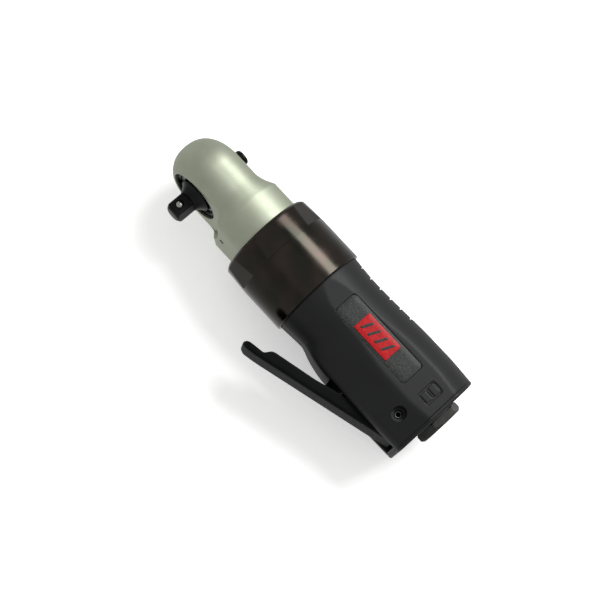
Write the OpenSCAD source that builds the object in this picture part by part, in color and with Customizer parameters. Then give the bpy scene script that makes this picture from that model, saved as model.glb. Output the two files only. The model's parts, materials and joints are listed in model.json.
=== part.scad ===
// Short air ratchet with a quarter-inch square drive and a lever throttle.
// Frame: the origin is the centre of the square drive at its shoulder, +X runs along the tool
// towards the air inlet, -Y points out of the square drive, +Z out of the name-plate side.
// The modules below draw each piece about the tool axis, which lies drive_shoulder above the
// origin in Y, and at_tool() moves it there. x is then measured from the drive axis.

/* [Head] */
// Radius of the round head about the drive axis
head_r = 16.4; // [16.2:0.1:16.8]
// From the tool axis to the top of the domed back
head_back = 12.2; // [12:0.1:12.6]
// From the tool axis to the milled front face
head_front = 9.65; // [9.5:0.05:9.8]
// Power of the curve that rounds the head, 2 is an ellipse
dome_power = 2.4; // [2.2:0.1:2.8]
// Radius of the round shank behind the head
shank_r = 16.9; // [16.8:0.1:17]
// From the tool axis to each spanner flat on the shank
shank_flat = 13.7; // [13.5:0.1:14]
// Radius of the opening in the front face
opening_r = 10.6; // [10.55:0.05:10.65]

/* [Square drive] */
// Width of the square
drive_size = 6.35; // [6.3:0.05:6.4]
// From the tool axis to the shoulder of the square
drive_shoulder = 12.4; // [12:0.1:12.8]
// Length of the square
drive_length = 8; // [7.5:0.1:8.5]
// How far the drive is turned at rest
drive_angle = 14; // [0:1:30]
// Radius of the ball that holds a socket
ball_r = 1.6; // [1.5:0.05:1.7]

/* [Reversing knob] */
// Width of the knob's bar
knob_w = 6; // [5:0.5:7]
// Length of the knob's bar
knob_l = 12; // [11:0.5:13]
// Turn of the knob from one stop to the other
knob_throw = 56; // [50:1:60]

/* [Ratchet] */
// Teeth inside the yoke
ratchet_teeth = 36; // [36]
// Throw of the crank pin
crank_throw = 1.7; // [1.6:0.1:1.7]
// Tilt of the pawl each way
pawl_tilt = 5; // [4:0.5:5]

/* [Planet gears] */
// Tooth module
gear_module = 0.5; // [0.5]
// Teeth on the rotor's pinion
sun_teeth = 12; // [12]
// Teeth on each planet gear
planet_teeth = 15; // [15]

/* [Clamp nut] */
// Front end of the nut, from the drive axis
nut_start = 28.1; // [28:0.1:28.5]
// Rear end of the nut
nut_end = 57.1; // [57:0.1:57.3]
// Outer radius of the nut
nut_r = 19.65; // [19.5:0.05:19.8]
// Across the wrench flats
nut_flats = 37.5; // [37.2:0.1:37.8]
// Turn of the wrench flats about the tool axis
nut_turn = 14; // [-30:0.5:30]

/* [Air motor] */
// Radius of the rotor
rotor_r = 10.6; // [10.4:0.1:10.6]
// Radius of the liner's bore
liner_bore_r = 12.4; // [12.4:0.1:12.6]
// How far the liner's bore is off the rotor's axis
liner_offset = 1.4; // [1.2:0.1:1.4]
// Vanes in the rotor
vane_count = 5; // [5]

/* [Handle] */
// Front end of the handle, from the drive axis
handle_start = 57.4; // [57.3:0.1:57.6]
// Rear end of the handle, at the outside of the rear cap
handle_end = 119.8; // [119.6:0.1:120]
// From the tool axis to the flat sides of the handle
handle_side = 17.3; // [17:0.1:17.6]
// Length of the recess for the name plate
plate_l = 36; // [30:1:36]
// Width of the recess for the name plate
plate_w = 10.4; // [9:0.2:10.4]
// Length of the red badge
badge_l = 16.5; // [12:0.5:18]
// Width of the red badge
badge_w = 7.8; // [6:0.2:8.4]

/* [Throttle] */
// Lever pivot, from the drive axis
pivot_x = 109.8; // [109.6:0.1:110]
// Lever pivot, from the tool axis
pivot_y = -12.7; // [-12.8:0.1:-12.6]
// Width of the lever
lever_w = 12; // [11.6:0.1:12]
// Thickness of the lever's walls
lever_wall = 1.4; // [1.2:0.1:1.6]
// Throttle plunger, from the drive axis
valve_x = 91; // [90.8:0.1:91.2]

/* [Air inlet] */
// Across the flats of the inlet's hexagon
inlet_hex = 17; // [16.5:0.5:17.5]
// Radius of the inlet's threaded hole
inlet_r = 5.6; // [5.5:0.05:5.7]

/* [Hidden] */
$fn = 72;

running = 0.05;          // radial clearance of a running fit
seat = 0.02;             // gap at a fixed fit
cavity_half = 5.2;       // half height of the yoke's cavity, along the drive axis
cavity_r = 10.9;         // radius of the yoke's cavity
facing_r = 17.2;         // radius of the cutter that faces the front of the head
ramp_start = 10.6;       // where the neck begins to swell towards the shank
ramp_end = 17.5;         // where the shank's full section begins
gear_bore_r = 12;        // bore of the shank in front of the ring gear
gear_seat_r = 12.95;     // bore of the shank around the ring gear
gear_seat_x = 31.3;
shank_end = 42;
flange_r = 17.8;         // flange that the nut pulls on
flange_x = 38.2;
knob_seat_y = 11.4;      // floor of the knob's seat in the back of the head
knob_rest = knob_throw / 2;
pawl_pin_x = -5.6;       // pawl pivot in the drive's own frame
pawl_half = 2.4;         // half thickness of the pawl
yoke_half = 4.9;         // half thickness of the yoke's ring
yoke_r = 10.6;
ratchet_tip_r = 8.3;
ratchet_root_r = 9.1;
fork_inner = 5.2;        // half width of the fork's slot, with room for the crank's throw
fork_outer = 8.4;
crank_rest = -10;        // direction of the crank's throw at rest, from +Y towards +Z
bushing_r = 3;
crank_pin_x = 18;        // centre of the drive bushing
planet_orbit = gear_module * (sun_teeth + planet_teeth) / 2;
ring_teeth = sun_teeth + 2 * planet_teeth;
pressure_angle = 25;
gear_slack = 0.6;        // half of the backlash, in degrees at the rotor's pinion
gear_x = 34.3;           // front of the planet gears
gear_l = 5.7;
bearing_r = 8;           // a bearing 8 mm inside, 16 mm outside and 5 mm long
shaft_r = 4;
bearing_l = 5;
race_mid_r = 6;          // pitch radius of the bearing's balls
race_ball_r = 1.5;
crank_bearing_x = 26;
front_bearing_x = 42.3;
rear_bearing_x = 78.8;
plate_front_x = 42.1;    // front end plate
liner_x = 48.05;         // liner, between the two end plates
liner_end = 78;
liner_r = 14.8;
rotor_x = 48.15;
rotor_end = 77.9;
motor_bore_r = 14.9;
motor_bore_end = 84.1;
plate_back_x = 84;       // rear face of the rear end plate
vane_t = 1.5;
vane_in = 5;             // inner edge of a vane at rest
vane_out = 9.8;          // outer edge of a vane at rest
thread_r = 17.85;        // thread between the nut and the motor housing
motor_step_x = 56.9;     // shoulder behind that thread
motor_r = 16;
chest_x = 86;            // valve chest, at the rear of the motor housing
chest_r = 14.5;
chest_end = 110;
boss_r = 6.2;            // boss around the throttle plunger
slot_half = 6.4;         // half width of the lever's slot
slot_floor = -16.2;      // floor of the slot around the plunger
slot_x = 84;
deep_floor = -9.5;       // floor of the slot around the pivot
deep_x = 98.6;
slot_end = 117.2;
cap_x = 118.3;           // inside of the rear cap
inlet_thread_r = 7.4;
inlet_end = 123.6;
screen_r = 5.2;          // seat of the inlet screen
lever_pitch = 15;        // slope of the open lever
lever_web = 1.6;
plunger_r = 2;
name_recess_x = 67.4;
badge_x = 76.4;
skin = 0.02;             // thickness of the slices that a hull joins

steel = "gainsboro";
dark_steel = "dimgray";
black = [0.12, 0.12, 0.12];

// ---- placing and drawing ----

module at_tool() translate([0, drive_shoulder, 0]) children();
module drive_turned() rotate([0, -drive_angle, 0]) children();
module knob_turned() rotate([0, knob_rest - drive_angle, 0]) children();
module crank_turned() rotate([crank_rest, 0, 0]) children();

module rod_x(x0, x1, r) translate([x0, 0, 0]) rotate([0, 90, 0]) cylinder(h = x1 - x0, r = r);
module rod_y(y0, y1, r) translate([0, y0, 0]) rotate([-90, 0, 0]) cylinder(h = y1 - y0, r = r);
module rod_z(z0, z1, r) translate([0, 0, z0]) cylinder(h = z1 - z0, r = r);

module tube_x(x0, x1, outer, inner) {
    difference() {
        rod_x(x0, x1, outer);
        rod_x(x0 - 1, x1 + 1, inner);
    }
}

// A turned shape from points [radius, place along the axis].
module turned_x(points) rotate([0, 90, 0]) rotate_extrude() polygon(points);
module turned_y(points) rotate([-90, 0, 0]) rotate_extrude() polygon(points);

// Flat outlines made thick: across X (drawn in Y and Z), across Y (X and Z) or across Z (X and Y).
module slice_x(x, t) translate([x, 0, 0]) rotate([90, 0, 90]) linear_extrude(t) children();
module slab_y(y0, y1) translate([0, y1, 0]) rotate([90, 0, 0]) linear_extrude(y1 - y0) children();
module slab_z(z0, z1) translate([0, 0, z0]) linear_extrude(z1 - z0) children();

module rounded_square(size, r) {
    square([size[0] - 2 * r, size[1]], center = true);
    square([size[0], size[1] - 2 * r], center = true);
    for (sx = [-1, 1], sy = [-1, 1])
        translate([sx * (size[0] / 2 - r), sy * (size[1] / 2 - r)]) circle(r);
}

// A coil along +Z from z = 0, as a six-sided wire swept round a helix.
module coil(r, wire, length, turns) {
    steps = turns * 14;
    sides = 6;
    points = [for (i = [0:steps], j = [0:sides - 1])
        let (a = 360 * turns * i / steps, b = 360 * j / sides, q = r + wire * cos(b))
        [q * cos(a), q * sin(a), wire * (1 + sin(b)) + (length - 2 * wire) * i / steps]];
    walls = [for (i = [0:steps - 1], j = [0:sides - 1])
        let (k = (j + 1) % sides)
        [i * sides + j, i * sides + k, (i + 1) * sides + k, (i + 1) * sides + j]];
    ends = [[for (j = [sides - 1:-1:0]) j], [for (j = [0:sides - 1]) steps * sides + j]];
    polyhedron(points, concat(walls, ends));
}

// ---- gear teeth ----

function involute_angle(a) = tan(a) * 180 / PI - a;

// Half the angle that a tooth takes up at radius r; spread widens it.
function tooth_half(r, base_r, teeth, spread) =
    90 / teeth + spread + involute_angle(pressure_angle)
    - (r > base_r ? involute_angle(acos(base_r / r)) : 0);

module gear_outline(teeth, tip_r, root_r, spread) {
    pitch_r = gear_module * teeth / 2;
    base_r = pitch_r * cos(pressure_angle);
    radii = [for (i = [0:4]) root_r + (tip_r - root_r) * i / 4];
    polygon([for (t = [0:teeth - 1], side = [-1, 1], i = [0:4])
        let (r = radii[side < 0 ? i : 4 - i],
            a = 360 * t / teeth + side * tooth_half(r, base_r, teeth, spread))
        [r * cos(a), r * sin(a)]]);
}

// ---- head ----

// Quarter points of a rounded outline with half widths a and b.
function round_point(a, b, t) =
    [a * sign(cos(t)) * pow(abs(cos(t)), 2 / dome_power),
     b * sign(sin(t)) * pow(abs(sin(t)), 2 / dome_power)];

module neck_section()
    polygon([for (i = [0:47]) round_point(head_back, head_r, 7.5 * i)]);

module shank_section() intersection() {
    circle(shank_r);
    square([2 * shank_flat, 2 * shank_r + 2], center = true);
}

module head_blank() {
    turned_y([for (i = [0:24]) round_point(head_r, head_back, 7.5 * i - 90)]);
    slice_x(0, ramp_start) neck_section();
    hull() {
        slice_x(ramp_start - skin, skin) neck_section();
        slice_x(ramp_end, skin) shank_section();
    }
    slice_x(ramp_end, 15.5) shank_section();
    rod_x(ramp_end + 15.4, flange_x + 0.1, 16.4);
    rod_x(flange_x, shank_end, flange_r);
}

module head_housing() {
    color(steel) at_tool() difference() {
        head_blank();
        rod_y(-40, -head_front, facing_r);
        // front opening with the groove for the retaining ring
        rod_y(-20, 0, opening_r);
        rod_y(-8.7, -7.65, 11.4);
        // cavity for the yoke
        rod_y(-cavity_half, cavity_half, cavity_r);
        translate([0, -cavity_half, -cavity_r]) cube([21.5, 2 * cavity_half, 2 * cavity_r]);
        // rear journal and the knob's seat
        rod_y(0, 20, 5.05 + running);
        rod_y(knob_seat_y, 20, 7.4);
        rod_x(20, gear_seat_x + 1, gear_bore_r);
        rod_x(gear_seat_x, shank_end + 1, gear_seat_r);
        translate([19.5, 0, 0]) rod_y(-20, -12.4, 1);
    }
}

module grease_plug() {
    color(dark_steel) at_tool() translate([19.5, 0, 0])
        turned_y([[0, -13.5], [0.6, -13.5], [0.98, -13.2], [0.98, -12.45], [0, -12.45]]);
}

module retaining_ring() {
    color(dark_steel) at_tool() slab_y(-8.55, -7.8) difference() {
        circle(11.3);
        circle(8.9);
        rotate(200) translate([0, -1.6]) square([20, 3.2]);
    }
}

module thrust_washer() {
    color(steel) at_tool() difference() {
        rod_y(-7.6, -7.05, 10.4);
        rod_y(-8, -6.5, 7.3);
    }
}

// ---- square drive and reversing gear ----

module anvil() {
    tip_y = -drive_shoulder - drive_length;
    half = drive_size / 2;
    color(dark_steel) at_tool() drive_turned() difference() {
        union() {
            turned_y([[0, 10.9], [5.05, 10.9], [5.05, 4.9], [8, 4.9], [8, -5.3], [10.5, -5.3],
                [10.5, -6.9], [7, -6.9], [7, -9.3], [5.7, -10.3], [4.9, -11.3],
                [4.4, -drive_shoulder], [0, -drive_shoulder]]);
            intersection() {
                translate([-half, tip_y, -half]) cube([drive_size, drive_length + 1, drive_size]);
                turned_y([[0, tip_y], [3, tip_y], [4.15, tip_y + 1.2], [4.15, -11], [0, -11]]);
            }
        }
        rod_y(-2.6, 12, 3 + running);
        translate([-9, -pawl_half - 0.2, -5.4]) cube([6.2, 2 * pawl_half + 0.4, 10.8]);
        translate([pawl_pin_x, 0, 0]) rod_y(-4.3, 4.3, 0.9 + seat);
        // window that the knob's plunger sweeps
        translate([-5, -1.3, -3]) cube([4, 2.6, 6]);
        translate([0, detent_y(), 0]) rod_z(-2.4, 6, ball_r + running);
    }
}

function detent_y() = -drive_shoulder - 4.1;

module detent_ball() {
    color("silver") at_tool() drive_turned()
        translate([0, detent_y(), drive_size / 2 + 0.63 - ball_r]) sphere(ball_r);
}

module detent_spring() {
    color("silver") at_tool() drive_turned()
        translate([0, detent_y(), -2.35]) coil(1.05, 0.2, 2.95, 4);
}

// Outline of the pawl about the drive axis: a crescent with two teeth near each end.
module pawl_outline() {
    outer = [for (a = [142:2:218])
        let (r = abs(a - 180) > 15 ? 7.75 - 0.14 * abs((a + 5) % 10 - 5) : 7)
        [r * cos(a), r * sin(a)]];
    difference() {
        polygon(concat(outer, [[-4.6, -4.9], [-3.1, -2.2], [-3.1, 2.2], [-4.6, 4.9]]));
        translate([pawl_pin_x, 0]) circle(0.9 + running);
        // hollow that the plunger sweeps as the knob turns
        translate([-1.33, 0]) circle(2.42);
    }
}

module pawl() {
    color("silver") at_tool() drive_turned() slab_y(-pawl_half, pawl_half)
        translate([pawl_pin_x, 0]) rotate(pawl_tilt) translate([-pawl_pin_x, 0]) pawl_outline();
}

module pawl_pin() {
    color("silver") at_tool() drive_turned()
        translate([pawl_pin_x, 0, 0]) rod_y(-4.2, 4.2, 0.9);
}

module reversing_knob() {
    color(black) at_tool() knob_turned() difference() {
        union() {
            rod_y(-1.8, knob_seat_y + 0.5, 3);
            slab_y(knob_seat_y + 0.3, 14) rounded_square([knob_w, knob_l], knob_w / 2 - 0.05);
        }
        // blind cross hole for the spring and plunger that push the pawl
        rod_x(-4, 1.6, 1.05);
    }
}

module pawl_plunger() {
    color("silver") at_tool() knob_turned() {
        translate([-2.7, 0, 0]) sphere(1);
        rod_x(-2.7, -1.6, 1);
    }
}

module pawl_spring() {
    color("silver") at_tool() knob_turned()
        translate([-1.55, 0, 0]) rotate([0, 90, 0]) coil(0.65, 0.18, 3.1, 4);
}

// ---- yoke, crank and planet gears ----

module ratchet_hole()
    polygon([for (i = [0:2 * ratchet_teeth - 1])
        let (r = i % 2 == 0 ? ratchet_root_r : ratchet_tip_r, a = 180 * i / ratchet_teeth)
        [r * cos(a), r * sin(a)]]);

module yoke() {
    color(dark_steel) at_tool() {
        slab_y(-yoke_half, yoke_half) difference() {
            circle(yoke_r);
            ratchet_hole();
        }
        slab_y(-4.2, 4.2) difference() {
            union() {
                translate([5, -fork_outer]) square([7.5, 2 * fork_outer]);
                for (s = [-1, 1]) translate([5, s > 0 ? fork_inner : -fork_outer])
                    square([16.5, fork_outer - fork_inner]);
            }
            circle(yoke_r - 0.4);
        }
    }
}

module drive_bushing() {
    color("goldenrod") at_tool() crank_turned() translate([crank_pin_x, crank_throw, 0])
        intersection() {
            difference() {
                sphere(bushing_r);
                rod_x(-4, 4, 1.6 + seat);
            }
            rod_x(-2.5, 2.5, bushing_r + 1);
        }
}

module crankshaft() {
    color("silver") at_tool() crank_turned() difference() {
        union() {
            translate([0, crank_throw, 0]) rod_x(14.9, 24, 1.6);
            rod_x(23.2, 25.5, 5.4);
            rod_x(25.4, 31.7, shaft_r - 0.01);
            rod_x(31.6, 33.8, 10.6);
        }
        planets() rod_x(30, 36, 1.25 + seat);
    }
}

// Repeats its children on the three planet axes, as they stand at rest.
module planets() for (i = [0:2]) rotate([120 * i - crank_rest, 0, 0])
    translate([0, planet_orbit, 0]) children();

module planet_pin(i) color("silver") at_tool() rotate([120 * i, 0, 0])
    translate([0, planet_orbit, 0]) rod_x(31.7, 40.2, 1.25);

module planet_gear(i) {
    color("silver") at_tool() rotate([120 * i, 0, 0]) translate([0, planet_orbit, 0])
        slice_x(gear_x, gear_l) difference() {
            gear_outline(planet_teeth, gear_module * (planet_teeth / 2 + 0.9),
                gear_module * (planet_teeth / 2 - 1.2), -gear_slack);
            circle(1.25 + running);
        }
}

module ring_gear() {
    color(dark_steel) at_tool() slice_x(gear_x - 0.2, 7.8) difference() {
        circle(gear_seat_r - seat);
        gear_outline(ring_teeth, gear_module * (ring_teeth / 2 + 1.2),
            gear_module * (ring_teeth / 2 - 0.8), gear_slack / 3);
    }
}

module crank_bearing_carrier() {
    color(dark_steel) at_tool()
        tube_x(crank_bearing_x, crank_bearing_x + bearing_l, gear_bore_r - seat, bearing_r + seat);
}

// ---- ball bearings ----

module race_section(inner_r, outer_r) difference() {
    translate([inner_r, 0]) square([outer_r - inner_r, bearing_l]);
    translate([race_mid_r, bearing_l / 2]) circle(race_ball_r + running);
}

module outer_race(x) {
    color("silver") at_tool() translate([x, 0, 0]) rotate([0, 90, 0])
        rotate_extrude() race_section(race_mid_r + 0.8, bearing_r);
}

module inner_race(x) {
    color("silver") at_tool() translate([x, 0, 0]) {
        rotate([0, 90, 0]) rotate_extrude() race_section(shaft_r, race_mid_r - 0.8);
        for (i = [0:7]) rotate([45 * i, 0, 0]) translate([bearing_l / 2, race_mid_r, 0])
            sphere(race_ball_r, $fn = 32);
    }
}

module crank_bearing_outer() outer_race(crank_bearing_x);
module crank_bearing_inner() inner_race(crank_bearing_x);
module front_bearing_outer() outer_race(front_bearing_x);
module front_bearing_inner() inner_race(front_bearing_x);
module rear_bearing_outer() outer_race(rear_bearing_x);
module rear_bearing_inner() inner_race(rear_bearing_x);

// ---- clamp nut ----

module clamp_nut() {
    color([0.2, 0.19, 0.19]) at_tool() difference() {
        turned_x([[shank_r + 0.1, nut_start + 0.4], [shank_r + 0.5, nut_start],
            [nut_r - 1.5, nut_start], [nut_r - 0.6, nut_start + 0.9],
            [nut_r, nut_start + 11], [nut_r, nut_end - 0.5], [nut_r - 0.4, nut_end],
            [thread_r + 0.05, nut_end], [thread_r + 0.05, flange_x - 0.05],
            [shank_r + 0.1, flange_x - 0.05]]);
        // six wrench flats with round inner corners
        for (i = [0:5]) rotate([60 * i + nut_turn, 0, 0])
            slab_z(nut_flats / 2, nut_flats) translate([nut_start + 2, 0])
                rounded_square([16, 16], 2);
    }
}

// ---- air motor ----

module at_liner_pin() translate([0, -13, 0]) children();

// The three exhaust holes, which run back from the motor to the muffler.
module exhaust_holes(x0, x1) for (i = [-1:1]) rotate([35 * i, 0, 0])
    translate([0, 11.8, 0]) rod_x(x0, x1, 1.7);

module front_end_plate() {
    color("darkgray") at_tool() difference() {
        rod_x(plate_front_x, liner_x - 0.05, motor_bore_r - seat);
        rod_x(plate_front_x - 1, front_bearing_x + bearing_l, bearing_r + seat);
        rod_x(plate_front_x, liner_x + 1, shaft_r + 0.6);
        at_liner_pin() rod_x(44, 50, 0.8 + seat);
    }
}

module rear_end_plate() {
    color("darkgray") at_tool() difference() {
        rod_x(liner_end + 0.05, plate_back_x, motor_bore_r - seat);
        rod_x(rear_bearing_x - 0.1, plate_back_x + 1, bearing_r + seat);
        rod_x(liner_end - 1, plate_back_x, shaft_r + 0.6);
        at_liner_pin() rod_x(77, 82, 0.8 + seat);
        exhaust_holes(77, 85);
    }
}

module cylinder_liner() {
    color("silver") at_tool() difference() {
        rod_x(liner_x, liner_end, liner_r);
        translate([0, liner_offset, 0]) rod_x(liner_x - 1, liner_end + 1, liner_bore_r);
        at_liner_pin() rod_x(liner_x - 1, liner_end + 1, 0.8 + seat);
    }
}

module liner_pin() color("silver") at_tool() at_liner_pin() rod_x(44.2, 81.8, 0.8);

module rotor() {
    color("silver") at_tool() {
        difference() {
            rod_x(rotor_x, rotor_end, rotor_r);
            for (i = [0:vane_count - 1]) rotate([360 * i / vane_count, 0, 0])
                translate([rotor_x - 1, vane_in - 0.1, -vane_t / 2 - running])
                    cube([rotor_end - rotor_x + 2, 10, vane_t + 2 * running]);
        }
        rod_x(gear_x + 7, rotor_x, shaft_r - 0.01);
        rod_x(rotor_end, plate_back_x - 0.1, shaft_r - 0.01);
        slice_x(gear_x, 7.2) gear_outline(sun_teeth,
            gear_module * (sun_teeth / 2 + 0.9), gear_module * (sun_teeth / 2 - 1.2), -gear_slack);
    }
}

module vane(i) {
    color("sienna") at_tool() rotate([360 * i / vane_count, 0, 0])
        translate([rotor_x + 0.05, vane_in, -vane_t / 2])
            cube([rotor_end - rotor_x - 0.1, vane_out - vane_in, vane_t]);
}

module motor_housing() {
    color("darkgray") at_tool() difference() {
        union() {
            turned_x([[0, plate_front_x], [thread_r, plate_front_x], [thread_r, motor_step_x],
                [motor_r, motor_step_x], [motor_r, chest_x], [chest_r, chest_x],
                [chest_r, chest_end], [0, chest_end]]);
            translate([valve_x, 0, 0]) rod_y(slot_floor, 0, boss_r);
        }
        rod_x(plate_front_x - 1, motor_bore_end, motor_bore_r);
        exhaust_holes(motor_bore_end - 1, chest_end + 1);
        // underside cut away above the lever's slot
        translate([deep_x - 0.4, -30, -20]) cube([20, 30 + deep_floor + 0.9, 40]);
        // valve bore, air way from the inlet and feed to the motor
        translate([valve_x, 0, 0]) rod_y(-20, 4.5, 4.22);
        rod_x(valve_x, 99, 3.6);
        rod_x(98.4, chest_end + 1, inlet_thread_r + seat);
        translate([0, -8, 0]) rod_x(motor_bore_end - 1, valve_x - 3, 1.8);
    }
}

// ---- throttle ----

module valve_bushing() {
    color("goldenrod") at_tool() translate([valve_x, 0, 0]) difference() {
        rod_y(slot_floor, -5.8, 4.2);
        rod_y(slot_floor - 1, -5, plunger_r + running);
        rod_y(-10.6, -5, 3);
        translate([0, -8, 0]) rod_x(-6, 0, 1.5);
    }
}

module plunger_seal() {
    color(black) at_tool() translate([valve_x, -10, 0]) rotate([-90, 0, 0])
        rotate_extrude() translate([plunger_r + 0.5, 0]) circle(0.43);
}

module throttle_plunger() {
    color("silver") at_tool() translate([valve_x, 0, 0]) turned_y([[0, -24.2], [0.8, -24.05],
        [1.5, -23.6], [plunger_r, -22.8], [plunger_r, -6.7], [0, -6.7]]);
}

module throttle_valve() {
    color("goldenrod") at_tool() translate([valve_x, 0, 0]) turned_y([[0, -6.3], [1.2, -6.3],
        [1.2, -5.78], [3.4, -5.78], [3.4, -4], [1.5, -4], [1.5, -1], [0, -1]]);
}

module valve_spring() {
    color("silver") at_tool() translate([valve_x, -3.95, 0])
        rotate([-90, 0, 0]) coil(2.4, 0.3, 8.3, 5);
}

// Side view of the open lever: tip paddle, straight web, walls and the ear round the pivot.
module lever_side() {
    ear_r = 2.9;
    ear = [for (a = [60:30:150]) [pivot_x + ear_r * cos(a), pivot_y + ear_r * sin(a)]];
    polygon(concat([[53, -33.3], [53.7, -34.9], [55.4, -35.3], [60, -34.4], [67.2, -32.5],
        [107, -21.85], [115.7, -19.5], [115.7, -13.6]], ear,
        [[100, -18.2], [80.5, -24.4], [62.8, -28.7], [61, -31.6], [54.5, -32.6]]));
}

// The space between the lever's walls, above its web.
module lever_channel() {
    slope = tan(lever_pitch);
    web_y = -32.5 + lever_web / cos(lever_pitch);
    polygon([[61, web_y - 6.2 * slope], [118, web_y + 50.8 * slope], [118, 0], [61, 0]]);
}

module throttle_lever() {
    half = lever_w / 2;
    color(black) at_tool() difference() {
        intersection() {
            slab_z(-half, half) lever_side();
            slab_y(-40, 0) {
                translate([56, -half]) square([64, lever_w]);
                translate([50, -half + 3]) square([7, lever_w - 6]);
                for (s = [-1, 1]) translate([56, s * (half - 3)]) circle(3);
            }
        }
        slab_z(-half + lever_wall, half - lever_wall) lever_channel();
        translate([pivot_x, pivot_y, 0]) rod_z(-10, 10, 1.6 + running);
    }
}

module lever_pin() {
    color("silver") at_tool() translate([pivot_x, pivot_y, 0]) difference() {
        rod_z(-12.7, 12.7, 1.6);
        rod_z(-14, 14, 0.9);
    }
}

// ---- handle ----

// One slice of the handle: a round back with flat sides, and a belly with round corners.
module handle_slice(x, back, side, belly, half, corner) {
    slice_x(x, skin) {
        intersection() {
            circle(back);
            square([3 * back, 2 * side], center = true);
        }
        for (s = [-1, 1]) translate([-belly + corner, s * (half - corner)])
            circle(corner, $fn = 32);
    }
}

// Stations along the handle: [x, back radius, side, belly depth, belly half width, corner].
stations = [[handle_start, 18.65, 18.65, 18, 5, 4.5], [66, 18, handle_side, 17.6, 6, 4.5],
    [69.5, 17.95, handle_side, 18, 7, 4.5], [73, 18, handle_side, 19.3, 7.5, 4.3],
    [80, 18.2, handle_side, 20.4, 8.5, 4.2], [94, 18.9, handle_side, 20.7, 10, 4.3],
    [109, 19, handle_side, 20.7, 12, 4.5], [cap_x - 0.07, 18.5, handle_side, 20.5, 12, 4.5]];

module handle_blank() {
    for (i = [0:len(stations) - 2]) hull() for (s = [stations[i], stations[i + 1]])
        handle_slice(s[0], s[1], s[2], s[3], s[4], s[5]);
}

module lever_slot() {
    translate([slot_x, -40, -slot_half]) cube([deep_x - slot_x + 1, 40 + slot_floor, 2 * slot_half]);
    translate([deep_x, -40, -slot_half]) cube([slot_end - deep_x, 40 + deep_floor, 2 * slot_half]);
}

module grip_housing() {
    color(black) at_tool() difference() {
        handle_blank();
        rod_x(handle_start - 1, chest_x + 0.05, motor_r + 0.05);
        difference() {
            rod_x(chest_x, chest_end + 0.05, chest_r + 0.05);
            translate([deep_x - 0.4, -30, -20]) cube([20, 30 + deep_floor + 0.85, 40]);
        }
        translate([valve_x, 0, 0]) rod_y(-30, 0, boss_r + 0.05);
        lever_slot();
        // muffler chamber
        difference() {
            rod_x(chest_end, cap_x + 1, 14.2);
            translate([chest_end - 1, -30, -20]) cube([20, 22.4, 40]);
        }
        // pivot hole and its countersinks
        translate([pivot_x, pivot_y, 0]) {
            rod_z(-20, 20, 1.6 + seat);
            rod_z(12.9, 20, 2.7);
            rod_z(-20, -12.9, 2.7);
        }
        slab_z(handle_side - 0.6, 30) {
            translate([name_recess_x + plate_l / 2, 0]) rounded_square([plate_l, plate_w], 1.8);
        }
        slab_z(handle_side - 0.4, 30) translate([112, 0]) rounded_square([5.6, 8.6], 1.4);
        // grooves between the raised blocks on the back
        for (i = [0:5]) translate([61.2 + 5.15 * i, 17.5, -7]) cube([0.9, 5, 14]);
    }
}

module name_plate() {
    color([0.2, 0.2, 0.2]) at_tool() slab_z(handle_side - 0.58, handle_side - 0.3)
        translate([name_recess_x + plate_l / 2, 0])
            rounded_square([plate_l - 0.3, plate_w - 0.3], 1.65);
}

module badge() {
    color("crimson") at_tool() slab_z(handle_side - 0.28, handle_side)
        translate([badge_x + badge_l / 2, 0]) rounded_square([badge_l, badge_w], 0.5);
}

module exhaust_muffler() {
    color("tan") at_tool() difference() {
        tube_x(chest_end + 0.4, cap_x - 0.3, 14, 8.6);
        translate([chest_end - 1, -30, -20]) cube([20, 23, 40]);
    }
}

module rear_cap() {
    color(black) at_tool() difference() {
        hull() {
            handle_slice(cap_x, 18.4, handle_side, 20.5, 12, 4.5);
            handle_slice(handle_end - 0.7, 18.3, handle_side, 20.3, 12, 4.5);
            handle_slice(handle_end - skin, 17.6, handle_side - 0.6, 19.7, 11.4, 4.2);
        }
        rod_x(cap_x - 1, handle_end + 1, inlet_thread_r + 0.1);
        // exhaust slots
        for (i = [-2:2]) rotate([32 * i, 0, 0]) translate([cap_x - 1, 10, -1]) cube([5, 3.4, 2]);
    }
}

// ---- air inlet ----

module inlet_bushing() {
    hex_r = inlet_hex / sqrt(3);
    hex_x = handle_end + 0.6;
    color(dark_steel) at_tool() difference() {
        union() {
            rod_x(98.6, hex_x + 0.1, inlet_thread_r);
            intersection() {
                rotate([90, 0, 0]) rod_x(hex_x, inlet_end, hex_r, $fn = 6);
                turned_x([[0, hex_x], [hex_r, hex_x], [hex_r, inlet_end - 1],
                    [hex_r - 1.5, inlet_end], [0, inlet_end]]);
            }
        }
        rod_x(112.4, inlet_end + 1, inlet_r);
        rod_x(111.6, 112.5, screen_r);
        rod_x(98, 112, 4.2);
        turned_x([[0, inlet_end - 0.5], [inlet_r, inlet_end - 0.5], [inlet_r + 0.7, inlet_end + 0.2],
            [0, inlet_end + 0.2]]);
    }
}

module inlet_seal() color(black) at_tool()
    tube_x(handle_end + 0.03, handle_end + 0.57, 9, inlet_thread_r + 0.05);

module inlet_screen() {
    color("goldenrod") at_tool() difference() {
        rod_x(111.65, 112.3, screen_r - seat);
        for (i = [0:5]) rotate([60 * i, 0, 0]) translate([0, 3.2, 0]) rod_x(111, 113, 0.9);
        rod_x(111, 113, 0.9);
    }
}

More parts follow.
